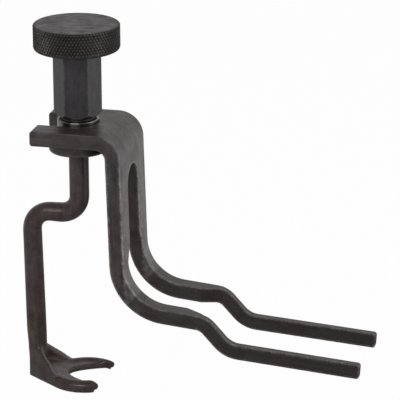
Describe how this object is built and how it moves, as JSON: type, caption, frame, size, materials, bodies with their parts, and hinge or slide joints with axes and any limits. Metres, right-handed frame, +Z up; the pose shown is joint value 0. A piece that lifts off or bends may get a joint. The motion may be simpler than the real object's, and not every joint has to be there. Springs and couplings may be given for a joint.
{
  "type": "valve spring compressor",
  "caption": "Screw-type valve spring compressor: a forked bracket hooks under a shaft while a knurled nut drives a cranked screw whose forked foot presses the spring retainer down.",
  "frame": {"origin": "on the screw axis at the underside of the forked foot, with the screw fully raised", "axes": "+Z up along the screw, +X along the bracket's tines, +Y across the tines"},
  "size_m": [0.1484, 0.039, 0.1566],
  "materials": {
    "bracket_steel": "black oxide over bent flat bar, worn bright along the edges",
    "nut_steel": "black oxide over turned hexagon bar, neck polished by running",
    "head_steel": "black oxide over turned and knurled steel",
    "forged_steel": "brown-black oxide over forged steel"
  },
  "bodies": {
    "bracket": {"frame": "bracket_steel"},
    "nut": {"drive_nut": "nut_steel", "knurled_head": "head_steel", "thrust_collar": "nut_steel"},
    "screw": {"fork_screw": "forged_steel"}
  },
  "joints": [
    {"name": "nut_turn", "type": "hinge", "parent": "bracket", "child": "nut", "pos_m": [0, 0, 0.115], "axis": [0, 0, 1], "range_deg": [0, 5400]},
    {"name": "screw_travel", "type": "slide", "parent": "bracket", "child": "screw", "axis": [0, 0, -1], "range_m": [0, 0.0239]}
  ],
  "couplings": [
    {"joint": "screw_travel", "follows": "nut_turn", "m_per_rad": 0.00025266}
  ]
}
